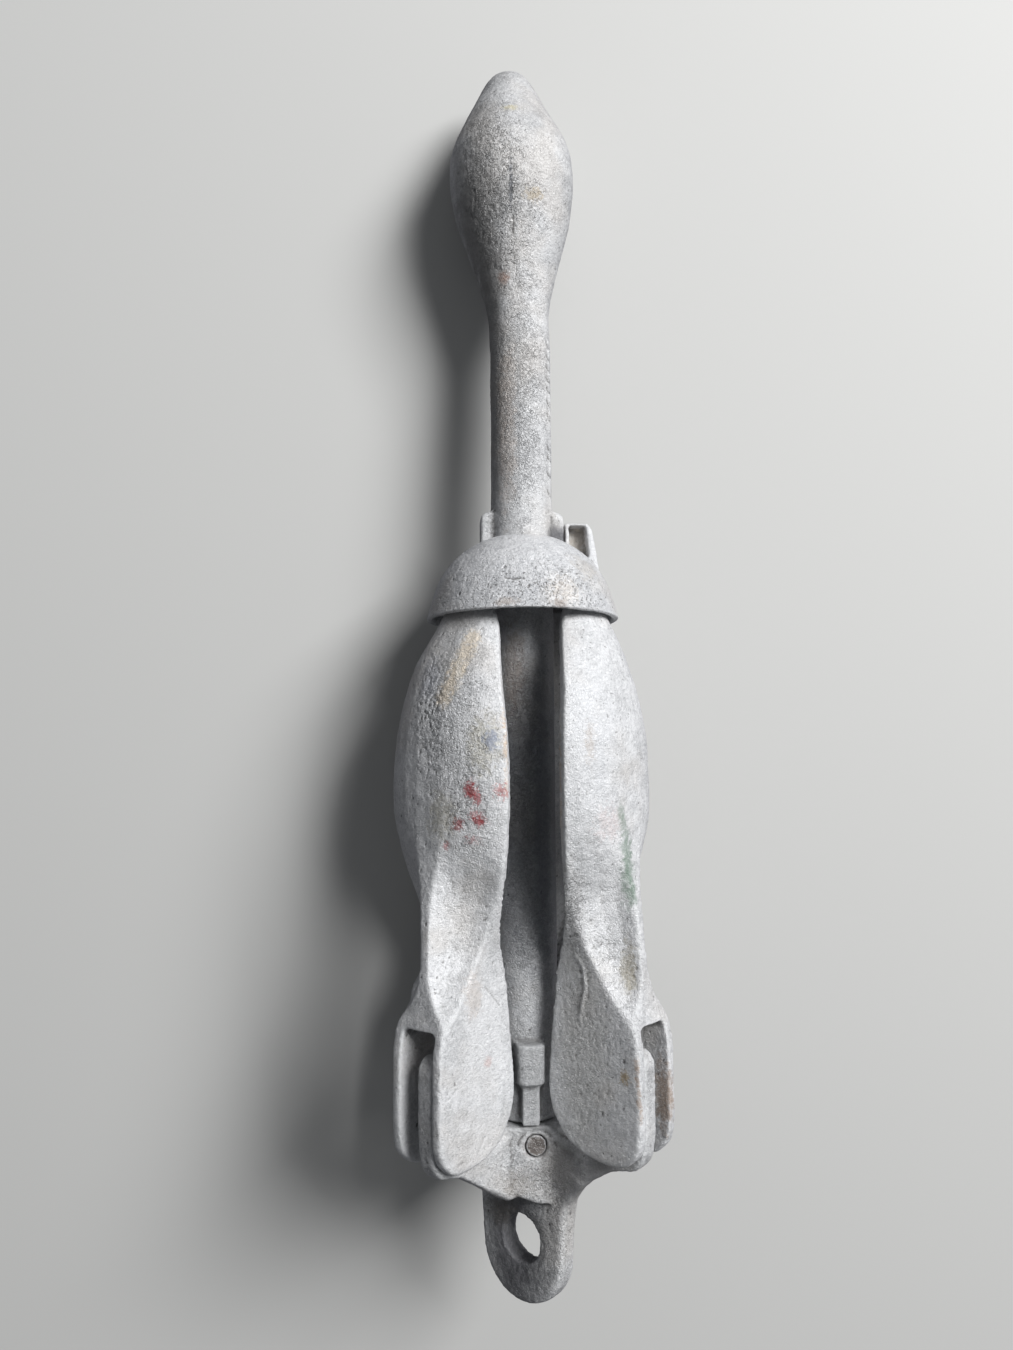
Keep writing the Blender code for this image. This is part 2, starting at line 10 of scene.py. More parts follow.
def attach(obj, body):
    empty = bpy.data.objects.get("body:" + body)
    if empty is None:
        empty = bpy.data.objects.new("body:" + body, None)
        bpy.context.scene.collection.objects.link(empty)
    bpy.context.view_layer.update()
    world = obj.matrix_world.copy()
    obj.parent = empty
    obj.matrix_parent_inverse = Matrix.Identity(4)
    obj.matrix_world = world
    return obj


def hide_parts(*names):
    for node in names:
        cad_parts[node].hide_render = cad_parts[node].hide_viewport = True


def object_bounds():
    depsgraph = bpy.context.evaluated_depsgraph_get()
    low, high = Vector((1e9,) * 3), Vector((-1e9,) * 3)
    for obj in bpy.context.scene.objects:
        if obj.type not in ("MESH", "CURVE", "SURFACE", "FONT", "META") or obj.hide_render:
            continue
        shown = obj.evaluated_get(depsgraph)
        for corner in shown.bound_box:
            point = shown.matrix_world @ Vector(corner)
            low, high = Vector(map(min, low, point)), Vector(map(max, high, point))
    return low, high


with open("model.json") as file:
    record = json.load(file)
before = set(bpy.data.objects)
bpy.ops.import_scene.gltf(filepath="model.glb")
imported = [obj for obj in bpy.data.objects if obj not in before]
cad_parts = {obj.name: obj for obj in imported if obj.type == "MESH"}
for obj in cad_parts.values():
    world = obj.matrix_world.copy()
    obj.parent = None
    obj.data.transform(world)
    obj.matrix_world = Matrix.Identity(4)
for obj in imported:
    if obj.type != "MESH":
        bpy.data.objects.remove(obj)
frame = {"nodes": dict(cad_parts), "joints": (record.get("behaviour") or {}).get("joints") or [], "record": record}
cad_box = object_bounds()

# ---- How the anchor lies -------------------------------------------------------
# It rests on two palms and its head, so its axis dips towards the head. Every
# piece is drawn about that axis: y runs up the shank from the eye's end, z is up.
MM = 0.001
EYE_FROM_END = 19.9 * MM
slide = next(j for j in frame["joints"] if j["name"] == "collar_slide")
eye_place = Vector(frame["record"]["mounts"][0]["pos_m"])
along = Vector(slide["axis"])
across = Vector((1.0, 0.0, 0.0))
lies = Matrix((across, along, across.cross(along))).transposed().to_4x4()
lies.translation = eye_place - along * EYE_FROM_END
stands = lies.inverted()

# ---- View, floor and light -----------------------------------------------------
# A camera close above the anchor, a plain pale floor, one broad soft window high on
# the right, towards the head, and a weak sky that fills the shade.
CAMERA_HEIGHT = 328.5 * MM
CAMERA_ASIDE = 5.31 * MM
CAMERA_ROLL = math.radians(0.44)
CAMERA_LEAN = math.radians(5.0)
LOOKS_AT = 193.43 * MM
SENSOR = 36.0
LENS = 27.04
NEAREST_SEEN = 10.0 * MM
scene = bpy.context.scene
scene.view_settings.view_transform = "Standard"
camera_data = bpy.data.cameras.new("camera")
camera_data.sensor_width = SENSOR
camera_data.lens = LENS
camera_data.clip_start = NEAREST_SEEN
camera = bpy.data.objects.new("camera", camera_data)
scene.collection.objects.link(camera)
seen = (Matrix.Translation((CAMERA_ASIDE, 0.0, 0.0))
        @ Matrix.Rotation(CAMERA_ROLL, 4, "Z")
        @ Matrix.Rotation(-CAMERA_LEAN, 4, "X")
        @ Matrix.Rotation(CAMERA_LEAN, 4, "Y"))
camera.matrix_world = (lies @ Matrix.Translation((0.0, LOOKS_AT, 0.0))
                       @ seen.inverted() @ Matrix.Translation((0.0, 0.0, CAMERA_HEIGHT)))
scene.camera = camera

# The floor is pale where it is looked at, and dark to the light that bounces off it. The
# sky is pale where it is looked at, and lights little.
FLOOR_HALF = 3.0
FLOOR_DROP = 0.3 * MM
FLOOR_ROUGHNESS = 0.9
FLOOR_LOOKED_AT = (0.52, 0.52, 0.51, 1.0)
FLOOR_BOUNCE = (0.14, 0.14, 0.15, 1.0)
floor_bm = bmesh.new()
bmesh.ops.create_grid(floor_bm, x_segments=1, y_segments=1, size=FLOOR_HALF)
bmesh.ops.translate(floor_bm, vec=(0.0, 0.0, -FLOOR_DROP), verts=floor_bm.verts)
floor_mesh = bpy.data.meshes.new("floor")
floor_bm.to_mesh(floor_mesh)
floor_bm.free()
floor = bpy.data.objects.new("floor", floor_mesh)
scene.collection.objects.link(floor)
floor_paint = bpy.data.materials.new("pale_floor")
floor_paint.use_nodes = True
floor_tree = floor_paint.node_tree
floor_shader = floor_tree.nodes["Principled BSDF"]
floor_shader.inputs["Roughness"].default_value = FLOOR_ROUGHNESS
floor_path = floor_tree.nodes.new("ShaderNodeLightPath")
floor_colour = floor_tree.nodes.new("ShaderNodeMix")
floor_colour.data_type = "RGBA"
floor_colour.inputs[6].default_value = FLOOR_BOUNCE
floor_colour.inputs[7].default_value = FLOOR_LOOKED_AT
floor_tree.links.new(floor_path.outputs["Is Camera Ray"], floor_colour.inputs[0])
floor_tree.links.new(floor_colour.outputs[2], floor_shader.inputs["Base Color"])
floor_mesh.materials.append(floor_paint)

WINDOW_WIDE = 0.70
WINDOW_HIGH = 0.85
WINDOW_WATTS = 41.0
WINDOW_PLACE = (0.86, 0.78, 1.16)
window_data = bpy.data.lights.new("window", "AREA")
window_data.shape = "RECTANGLE"
window_data.size = WINDOW_WIDE
window_data.size_y = WINDOW_HIGH
window_data.energy = WINDOW_WATTS
window = bpy.data.objects.new("window", window_data)
scene.collection.objects.link(window)
window.location = WINDOW_PLACE
window.rotation_euler = (-Vector(window.location)).to_track_quat("-Z", "Y").to_euler()

SKY_COLOUR = (0.93, 0.96, 1.0, 1.0)
SKY_LOOKED_AT = 0.80
SKY_LIGHT = 0.15
sky = bpy.data.worlds.new("sky")
scene.world = sky
sky.use_nodes = True
sky_tree = sky.node_tree
background = sky_tree.nodes["Background"]
background.inputs["Color"].default_value = SKY_COLOUR
sky_path = sky_tree.nodes.new("ShaderNodeLightPath")
sky_strength = sky_tree.nodes.new("ShaderNodeMath")
sky_strength.operation = "MULTIPLY_ADD"
sky_strength.inputs[1].default_value = SKY_LOOKED_AT - SKY_LIGHT
sky_strength.inputs[2].default_value = SKY_LIGHT
sky_tree.links.new(sky_path.outputs["Is Camera Ray"], sky_strength.inputs[0])
sky_tree.links.new(sky_strength.outputs[0], background.inputs["Strength"])

# ---- Shank ---------------------------------------------------------------------
# One iron casting: a round bar with a pear-shaped head, two lugs that key the
# collar and two by the crown. The mould's parting lines still show along it.
WELD = 1e-6
SHANK_FACE = 0.62 * MM
EASE = 0.5


def solid_of(node_name):
    """The solid of this node, drawn about the anchor's own axis."""
    bm = bmesh.new()
    bm.from_mesh(frame["nodes"][node_name].data)
    bmesh.ops.remove_doubles(bm, verts=bm.verts, dist=WELD)
    bmesh.ops.transform(bm, matrix=stands, verts=bm.verts)
    return bm


def link(name, bm):
    mesh = bpy.data.meshes.new(name)
    bm.to_mesh(mesh)
    bm.free()
    piece = bpy.data.objects.new(name, mesh)
    scene.collection.objects.link(piece)
    return piece


def ease(bm, rounds):
    """Draws every point towards its neighbours, so that edges grow round."""
    for _ in range(rounds):
        bmesh.ops.smooth_vert(bm, verts=bm.verts, factor=EASE, use_axis_x=True,
                              use_axis_y=True, use_axis_z=True)


def even_skin(bm, face, rounds):
    """One skin of small even faces over the solids in bm, its edges softened as by a mould."""
    rough = link("rough", bm)
    skin = rough.modifiers.new("skin", "REMESH")
    skin.mode = "VOXEL"
    skin.voxel_size = face
    graph = bpy.context.evaluated_depsgraph_get()
    fine = bmesh.new()
    fine.from_object(rough, graph)
    old = rough.data
    bpy.data.objects.remove(rough)
    bpy.data.meshes.remove(old)
    ease(fine, rounds)
    return fine


# What stands on a sand-cast, zinc-dipped skin: how wide and how high each kind is, in
# millimetres. GROOVE_HALF, BEND_SHARE and PIT_RARITY are levels of the noise itself. A
# casting's seed shifts the noise by these steps, so that no two skins are alike.
SEED_STEPS = (17.3, 5.1, -9.7)
BROAD_LUMP_WIDE = 12.0
BROAD_LUMP_HIGH = 0.17
LUMP_WIDE = 4.6
LUMP_HIGH = 0.11
GROOVE_APART = 1.55
GROOVE_HALF = 0.19
GROOVE_DEEP = 0.22
BEND_WIDE_X = 2.4
BEND_WIDE_Y = 2.1
BEND_SHARE = 0.5
GRIT_WIDE = 1.05
GRIT_HIGH = 0.17
PIT_WIDE = 1.30
PIT_DEEP = 1.3
PIT_RARITY = 0.54
PIT_SHIFT = Vector((40.0, 0.0, 0.0))


def cast_skin(p, seed, rough):
    """Height in mm of the skin at p, a place in mm. rough is the share of its grooves
    and grit."""
    q = p + Vector([seed * step for step in SEED_STEPS])
    lumps = (noise.noise(q / BROAD_LUMP_WIDE) * BROAD_LUMP_HIGH
             + noise.noise(q / LUMP_WIDE) * LUMP_HIGH)
    bend = Vector((noise.noise(q / BEND_WIDE_X), noise.noise(q / BEND_WIDE_Y), 0.0))
    off_groove = abs(noise.noise(q / GROOVE_APART + bend * BEND_SHARE))
    groove = max(0.0, 1.0 - off_groove / GROOVE_HALF) * -GROOVE_DEEP
    grit = noise.noise(q / GRIT_WIDE) * GRIT_HIGH
    pit = max(0.0, noise.noise(q / PIT_WIDE + PIT_SHIFT) - PIT_RARITY) * PIT_DEEP
    return lumps + (groove + grit) * rough - pit


def nearness(p, path, reach):
    """1 on a path of points, falling smoothly to 0 at the distance reach from it."""
    best = reach
    for a, b in zip(path, path[1:]):
        line = b - a
        t = max(0.0, min(1.0, (p - a).dot(line) / line.length_squared))
        best = min(best, (p - a - line * t).length)
    fall = 1.0 - best / reach
    return fall * fall * (3.0 - 2.0 * fall)


MARK_RAGGED = 0.8
MARK_RAG_WIDE = 1.7


def carve(bm, seed, marks, rough, areas=()):
    """Moves the skin in and out: its grain, coarser in each area (centre, size, extra
    roughness), then each mark (path, reach, height). All are in millimetres."""
    bm.normal_update()
    ready = []
    for path, reach, height in marks:
        points = [Vector(p) for p in path]
        low = Vector([min(p[k] for p in points) - reach for k in range(3)])
        high = Vector([max(p[k] for p in points) + reach for k in range(3)])
        ready.append((points, reach, height, low, high))
    moves = []
    for v in bm.verts:
        p = v.co / MM
        coarse = rough
        for centre, size, extra in areas:
            away = Vector([(p[k] - centre[k]) / size[k] for k in range(3)]).length
            coarse += extra * max(0.0, 1.0 - away * away)
        rise = cast_skin(p, seed, coarse)
        for points, reach, height, low, high in ready:
            if all(low[k] < p[k] < high[k] for k in range(3)):
                ragged = 1.0 + MARK_RAGGED * noise.noise(p / MARK_RAG_WIDE)
                rise += height * ragged * nearness(p, points, reach)
        moves.append(v.normal * rise * MM)
    for v, move in zip(bm.verts, moves):
        v.co += move


RELIEF_SPAN = 0.60 * MM
RELIEF_ROUNDS = 14
RELIEF_LEVEL = 0.5


def note_relief(bm):
    """Writes how far each point stands out of the skin round it: 0.5 is level, 1 a ridge."""
    level = bm.copy()
    ease(level, RELIEF_ROUNDS)
    bm.normal_update()
    layer = bm.verts.layers.float.new("relief")
    for v, flat in zip(bm.verts, level.verts):
        out = (v.co - flat.co).dot(v.normal) / RELIEF_SPAN
        v[layer] = max(0.0, min(1.0, RELIEF_LEVEL + out))
    level.free()


def sockets(tree, way, kind, *names):
    for name in names:
        tree.interface.new_socket(name, in_out=way, socket_type=kind)


def node(tree, kind, **values):
    made = tree.nodes.new(kind)
    for name, value in values.items():
        setattr(made, name, value)
    return made


def grain(tree, place, per_mm, detail, rough, warp=0.0):
    """A noise whose lumps are 1 / per_mm millimetres across."""
    made = node(tree, "ShaderNodeTexNoise")
    made.inputs["Scale"].default_value = per_mm
    made.inputs["Detail"].default_value = detail
    made.inputs["Roughness"].default_value = rough
    made.inputs["Distortion"].default_value = warp
    tree.links.new(place, made.inputs["Vector"])
    return made.outputs["Fac"]


def between(tree, value, low, high, to_low=0.0, to_high=1.0):
    """value from low to high becomes to_low to to_high, held at both ends, eased."""
    made = node(tree, "ShaderNodeMapRange", interpolation_type="SMOOTHSTEP")
    tree.links.new(value, made.inputs["Value"])
    for name, number in (("From Min", low), ("From Max", high),
                         ("To Min", to_low), ("To Max", to_high)):
        made.inputs[name].default_value = number
    return made.outputs["Result"]


def sum_of(tree, *parts):
    """Adds (value, weight) pairs."""
    total = None
    for value, weight in parts:
        made = node(tree, "ShaderNodeMath", operation="MULTIPLY_ADD")
        tree.links.new(value, made.inputs[0])
        made.inputs[1].default_value = weight
        made.inputs[2].default_value = 0.0
        if total is not None:
            tree.links.new(total, made.inputs[2])
        total = made.outputs[0]
    return total


def times(tree, a, b):
    made = node(tree, "ShaderNodeMath", operation="MULTIPLY")
    tree.links.new(a, made.inputs[0])
    if isinstance(b, float):
        made.inputs[1].default_value = b
    else:
        tree.links.new(b, made.inputs[1])
    return made.outputs[0]


def over(tree, mask, below, colour):
    """colour laid over what is below, where the mask is 1."""
    made = node(tree, "ShaderNodeMix", data_type="RGBA")
    tree.links.new(mask, made.inputs[0])
    for value, slot in ((below, made.inputs[6]), (colour, made.inputs[7])):
        if isinstance(value, tuple):
            slot.default_value = (*value, 1.0)
        else:
            tree.links.new(value, slot)
    return made.outputs[2]


# Zinc that has dulled in the weather: two greys in faint clouds, a fine sandy speckle,
# a warm bloom, painted glints, rubbed high spots, and dirt with painted shade in the
# hollows, grooves and holes. Peel is how strong its fine winding grooves are, and Pits
# the same for its small holes.
BLOOM = (0.57, 0.535, 0.50)
# the pale of the painted glints
GLINT = (0.84, 0.84, 0.84)
RUBBED = (0.72, 0.73, 0.74)
NOISE_MIDDLE = 0.5
zinc = bpy.data.node_groups.new("weathered_zinc", "ShaderNodeTree")
sockets(zinc, "INPUT", "NodeSocketVector", "Place")
sockets(zinc, "INPUT", "NodeSocketFloat", "Relief", "Peel", "Pits")
sockets(zinc, "INPUT", "NodeSocketColor", "Pale", "Dull", "Dirt and shade")
sockets(zinc, "OUTPUT", "NodeSocketColor", "Color")
sockets(zinc, "OUTPUT", "NodeSocketFloat", "Roughness", "Height")
given = node(zinc, "NodeGroupInput")
result = node(zinc, "NodeGroupOutput")
spot = given.outputs["Place"]
relief = given.outputs["Relief"]
dirt_and_shade = given.outputs["Dirt and shade"]
clouds = grain(zinc, spot, per_mm=0.05, detail=4.0, rough=0.6)
mottle = grain(zinc, spot, per_mm=0.28, detail=5.0, rough=0.7, warp=0.5)
sand = grain(zinc, spot, per_mm=1.25, detail=4.0, rough=0.8, warp=0.4)
fine = grain(zinc, spot, per_mm=2.6, detail=2.0, rough=0.6)
tone = sum_of(zinc, (clouds, 0.26), (mottle, 0.30), (sand, 0.44))
colour = over(zinc, between(zinc, tone, low=0.39, high=0.60), given.outputs["Dull"],
              given.outputs["Pale"])
warm = grain(zinc, spot, per_mm=0.033, detail=3.0, rough=0.6)
bloom = between(zinc, warm, low=0.48, high=0.66, to_high=0.45)
colour = over(zinc, bloom, colour, BLOOM)
# painted glints: pale specks that stand in for sparkles of light
glints = times(zinc, between(zinc, fine, low=0.56, high=0.66), 0.60)
colour = over(zinc, glints, colour, GLINT)
rubbed = between(zinc, relief, low=0.56, high=0.84, to_high=0.50)
colour = over(zinc, rubbed, colour, RUBBED)
# dirt with painted shade in the hollows, darkest where the skin sinks most
hollow = between(zinc, relief, low=0.16, high=0.45, to_low=0.70, to_high=0.0)
colour = over(zinc, hollow, colour, dirt_and_shade)
dotted = grain(zinc, spot, per_mm=1.05, detail=3.0, rough=0.6, warp=0.3)
dots = between(zinc, dotted, low=0.66, high=0.74)
colour = over(zinc, times(zinc, dots, 0.50), colour, dirt_and_shade)
# a groove winds along every place where a smooth noise crosses its middle
winding = grain(zinc, spot, per_mm=0.80, detail=2.0, rough=0.5, warp=0.8)
crossing = node(zinc, "ShaderNodeMath", operation="SUBTRACT")
zinc.links.new(winding, crossing.inputs[0])
crossing.inputs[1].default_value = NOISE_MIDDLE
off_groove = node(zinc, "ShaderNodeMath", operation="ABSOLUTE")
zinc.links.new(crossing.outputs[0], off_groove.inputs[0])
grooved = between(zinc, off_groove.outputs[0], low=0.0, high=0.08, to_low=1.0, to_high=0.0)
groove = times(zinc, grooved, given.outputs["Peel"])
colour = over(zinc, times(zinc, groove, 0.42), colour, dirt_and_shade)
pitted = grain(zinc, spot, per_mm=1.5, detail=1.0, rough=0.5, warp=0.2)
hole = times(zinc, between(zinc, pitted, low=0.60, high=0.67), given.outputs["Pits"])
colour = over(zinc, times(zinc, hole, 0.80), colour, dirt_and_shade)
zinc.links.new(colour, result.inputs["Color"])
gloss = sum_of(zinc, (mottle, 0.40), (sand, 0.30))
roughness = between(zinc, gloss, low=0.24, high=0.46, to_low=0.40, to_high=0.62)
zinc.links.new(roughness, result.inputs["Roughness"])
bumps = sum_of(zinc, (mottle, 0.30), (sand, 0.70), (fine, 0.22), (dots, -0.35),
               (groove, -0.60), (hole, -0.70))
zinc.links.new(bumps, result.inputs["Height"])

# One soft patch about a centre, with its own size each way. It lays stains, painted light
# and painted shade, and marks areas of grooves and holes. Ragged is how far its edge
# wanders, Fine how closely, and Broken how much zinc shows through in grains.
EDGE_WANDER = 2.4
soft_patch = bpy.data.node_groups.new("soft_patch", "ShaderNodeTree")
sockets(soft_patch, "INPUT", "NodeSocketVector", "Place", "Centre", "Size")
sockets(soft_patch, "INPUT", "NodeSocketFloat", "Ragged", "Fine", "Broken")
sockets(soft_patch, "OUTPUT", "NodeSocketFloat", "Mask")
given = node(soft_patch, "NodeGroupInput")
result = node(soft_patch, "NodeGroupOutput")
spot = given.outputs["Place"]
offset = node(soft_patch, "ShaderNodeVectorMath", operation="SUBTRACT")
soft_patch.links.new(spot, offset.inputs[0])
soft_patch.links.new(given.outputs["Centre"], offset.inputs[1])
scaled = node(soft_patch, "ShaderNodeVectorMath", operation="DIVIDE")
soft_patch.links.new(offset.outputs[0], scaled.inputs[0])
soft_patch.links.new(given.outputs["Size"], scaled.inputs[1])
away = node(soft_patch, "ShaderNodeVectorMath", operation="LENGTH")
soft_patch.links.new(scaled.outputs[0], away.inputs[0])
edge = node(soft_patch, "ShaderNodeTexNoise")
edge.inputs["Detail"].default_value = 5.0
edge.inputs["Roughness"].default_value = 0.7
soft_patch.links.new(spot, edge.inputs["Vector"])
soft_patch.links.new(given.outputs["Fine"], edge.inputs["Scale"])
centred = node(soft_patch, "ShaderNodeMath", operation="SUBTRACT")
soft_patch.links.new(edge.outputs["Fac"], centred.inputs[0])
centred.inputs[1].default_value = NOISE_MIDDLE
torn = times(soft_patch, centred.outputs[0], given.outputs["Ragged"])
reach = sum_of(soft_patch, (away.outputs["Value"], 1.0), (torn, EDGE_WANDER))
cover = between(soft_patch, reach, low=0.35, high=1.10, to_low=1.0, to_high=0.0)
grainy = grain(soft_patch, spot, per_mm=0.95, detail=4.0, rough=0.8, warp=0.5)
grains = between(soft_patch, grainy, low=0.34, high=0.54)
gaps = node(soft_patch, "ShaderNodeMix", data_type="FLOAT")
soft_patch.links.new(given.outputs["Broken"], gaps.inputs[0])
gaps.inputs[2].default_value = 1.0
soft_patch.links.new(grains, gaps.inputs[3])
soft_patch.links.new(times(soft_patch, cover, gaps.outputs[0]), result.inputs["Mask"])


def patch_mask(tree, spot, centre, size, ragged, fine, broken):
    patch = node(tree, "ShaderNodeGroup", node_tree=soft_patch)
    tree.links.new(spot, patch.inputs["Place"])
    patch.inputs["Centre"].default_value = centre
    patch.inputs["Size"].default_value = size
    patch.inputs["Ragged"].default_value = ragged
    patch.inputs["Fine"].default_value = fine
    patch.inputs["Broken"].default_value = broken
    return patch.outputs["Mask"]


ZINC_METALLIC = 0.30
ZINC_SPECULAR = 0.6
GRAIN_HIGH = 0.60 * MM


def zinc_material(name, stains_and_painted_light, pale=(0.66, 0.665, 0.675), dull=(0.37, 0.375, 0.385),
                  dirt_and_shade=(0.12, 0.115, 0.11), bump=1.0, peels=(), pits=()):
    """Weathered zinc with stains and painted light and shade: (centre, size, colour, strength,
    ragged, fine, broken), and with grooved and pitted areas: (centre, size, strength). Places
    are in millimetres."""
    paint = bpy.data.materials.new(name)
    paint.use_nodes = True
    tree = paint.node_tree
    shader = tree.nodes["Principled BSDF"]
    shader.inputs["Metallic"].default_value = ZINC_METALLIC
    shader.inputs["Specular IOR Level"].default_value = ZINC_SPECULAR
    coords = node(tree, "ShaderNodeTexCoord")
    place = node(tree, "ShaderNodeMapping")
    place.inputs["Scale"].default_value = (1.0 / MM,) * 3
    place.inputs["Rotation"].default_value = stands.to_3x3().to_euler()
    place.inputs["Location"].default_value = stands.translation / MM
    tree.links.new(coords.outputs["Object"], place.inputs["Vector"])
    spot = place.outputs["Vector"]
    stands_out = node(tree, "ShaderNodeAttribute", attribute_name="relief")
    coat = node(tree, "ShaderNodeGroup", node_tree=zinc)
    tree.links.new(spot, coat.inputs["Place"])
    tree.links.new(stands_out.outputs["Fac"], coat.inputs["Relief"])
    for shade, tint in (("Pale", pale), ("Dull", dull), ("Dirt and shade", dirt_and_shade)):
        coat.inputs[shade].default_value = (*tint, 1.0)
    for texture, areas in (("Peel", peels), ("Pits", pits)):
        if areas:
            masks = [(patch_mask(tree, spot, centre, size, ragged=0.8, fine=0.25, broken=0.0),
                      strength) for centre, size, strength in areas]
            tree.links.new(sum_of(tree, *masks), coat.inputs[texture])
    colour = coat.outputs["Color"]
    for centre, size, tint, strength, ragged, fine, broken in stains_and_painted_light:
        mask = patch_mask(tree, spot, centre, size, ragged, fine, broken)
        colour = over(tree, times(tree, mask, strength), colour, tint)
    tree.links.new(colour, shader.inputs["Base Color"])
    tree.links.new(coat.outputs["Roughness"], shader.inputs["Roughness"])
    bumping = node(tree, "ShaderNodeBump")
    bumping.inputs["Strength"].default_value = bump
    bumping.inputs["Distance"].default_value = GRAIN_HIGH
    tree.links.new(coat.outputs["Height"], bumping.inputs["Height"])
    tree.links.new(bumping.outputs["Normal"], shader.inputs["Normal"])
    return paint


def place_casting(name, bm, body, slot, paint, *nodes):
    """Puts a finished casting where the anchor lies, in place of its solid, and keeps it
    inside the box round all the solids."""
    note_relief(bm)
    bmesh.ops.transform(bm, matrix=lies, verts=bm.verts)
    low, high = cad_box
    for v in bm.verts:
        for k in range(3):
            v.co[k] = max(low[k], min(high[k], v.co[k]))
    for face in bm.faces:
        face.smooth = True
    piece = link(name, bm)
    piece.data.materials.append(paint)
    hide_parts(*nodes)
    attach(piece, body)


shank_marks = [
    # the parting line along the top of the head, broken into stretches
    ([(-5.0, 366.7, 20.1), (-4.9, 361.0, 20.2), (-4.8, 357.5, 20.0)], 0.75, -0.32),
    ([(-4.6, 353.0, 19.5), (-4.3, 346.5, 18.5)], 0.85, -0.65),
    ([(-3.9, 342.5, 17.3), (-3.4, 334.0, 15.4)], 0.8, -0.55),
    ([(-3.0, 329.0, 14.1), (-2.4, 319.7, 11.4), (-1.9, 309.0, 10.1)], 0.75, -0.28),
    # blow holes in the head
    ([(2.2, 342.0, 17.2), (2.25, 342.1, 17.2)], 0.8, -0.6),
    ([(6.8, 344.0, 16.3), (6.85, 344.1, 16.3)], 0.7, -0.5),
    # a fine seam right of the middle of the bar
    ([(6.4, 302.0, 7.7), (6.2, 275.0, 7.9), (6.4, 246.0, 7.7)], 0.55, -0.10),
]
# the flash along the bar's right, broken into slanting nicks: (lower end, length)
FLASH_R = 10.0
FLASH_AT = math.radians(24)
FLASH_ENDS = (303.0, 246.0)
NICK_R = 10.1
NICK_FROM = 34.0
NICK_SWEEP = 24.0
NICKS = ((299.6, 3.0), (295.4, 3.0), (292.0, 2.4), (288.6, 2.0), (284.9, 2.4), (279.6, 3.4),
         (274.6, 3.8), (265.4, 2.2), (262.4, 2.0), (256.6, 2.4), (249.4, 3.6))
flash = [(math.cos(FLASH_AT) * FLASH_R, y, math.sin(FLASH_AT) * FLASH_R) for y in FLASH_ENDS]
shank_marks.append((flash, 1.5, 0.30))
for low, length in NICKS:
    nick = []
    for t in (0.0, 0.5, 1.0):
        a = math.radians(NICK_FROM - NICK_SWEEP * t)
        nick.append((math.cos(a) * NICK_R, low + length * (1.0 - t), math.sin(a) * NICK_R))
    shank_marks.append((nick, 0.85, -0.75))
shank_areas = [
    # the head's left side and top, then the bar
    ((-9.0, 352.0, 14.0), (13.0, 34.0, 16.0), 0.85),
    ((0.0, 335.0, 14.0), (12.0, 22.0, 10.0), 0.40),
    ((-2.0, 290.0, 8.0), (9.0, 44.0, 8.0), 0.45),
]
# the grey of the painted shade on the sides turned away from the light
PAINTED_SIDE_SHADE = (0.20, 0.195, 0.19)
shank_stains_and_shade = [
    # a brown spot under the head, a yellowed one near its tip, a tan one by the blow holes
    ((-6.4, 321.7, 10.6), (2.8, 2.6, 3.0), (0.36, 0.22, 0.17), 0.75, 0.9, 0.9, 0.4),
    ((-4.0, 376.1, 17.3), (3.4, 1.8, 3.0), (0.60, 0.55, 0.38), 0.75, 1.0, 0.8, 0.5),
    ((2.8, 345.9, 18.0), (4.2, 2.6, 3.0), (0.48, 0.41, 0.31), 0.75, 1.3, 0.8, 0.5),
    # painted shade down the left of the head and of the bar, the sides turned away from the light
    ((-14.0, 340.0, 9.0), (10.0, 50.0, 16.0), PAINTED_SIDE_SHADE, 0.80, 0.45, 0.2, 0.2),
    ((-9.0, 296.0, 3.0), (6.5, 66.0, 9.5), PAINTED_SIDE_SHADE, 0.72, 0.4, 0.2, 0.2),
    # a painted shadow in the corner by the right upper lug, where the hood shades the lug and
    # the bar, and a darker grey round the lower lugs
    ((11.4, 237.0, 4.5), (5.2, 6.6, 8.0), (0.09, 0.09, 0.10), 0.92, 0.25, 0.4, 0.1),
    ((0.0, 72.0, 13.5), (9.0, 20.0, 6.0), (0.28, 0.285, 0.29), 0.68, 0.5, 0.5, 0.5),
    # a dull patch round the parting line
    ((-4.6, 345.0, 18.6), (6.0, 10.0, 5.0), (0.27, 0.28, 0.29), 0.35, 0.9, 0.4, 0.8),
    # a brown tinge down the bar, and dirt in the parting line of the bar and the head
    ((-5.6, 272.0, 8.6), (4.2, 34.0, 5.0), (0.44, 0.37, 0.32), 0.45, 0.9, 0.35, 0.7),
    ((-1.6, 280.0, 9.9), (0.6, 46.0, 1.2), (0.28, 0.29, 0.30), 0.35, 1.0, 0.5, 0.6),
    ((-4.4, 350.0, 18.9), (0.9, 17.0, 2.0), (0.16, 0.17, 0.19), 0.80, 1.0, 0.7, 0.3),
    # painted shade on the bar between the flukes, deepest on its right, where the right flukes
    # shade it, and a brown stain by the collar
    ((0.0, 150.0, 0.0), (24.0, 76.0, 24.0), (0.14, 0.16, 0.20), 0.42, 0.35, 0.12, 0.2),
    ((-4.0, 194.0, 9.4), (4.6, 18.0, 4.0), (0.27, 0.21, 0.17), 0.55, 0.9, 0.4, 0.6),
    ((5.0, 150.0, 8.6), (4.0, 64.0, 4.0), (0.09, 0.105, 0.14), 0.45, 0.4, 0.2, 0.2),
]
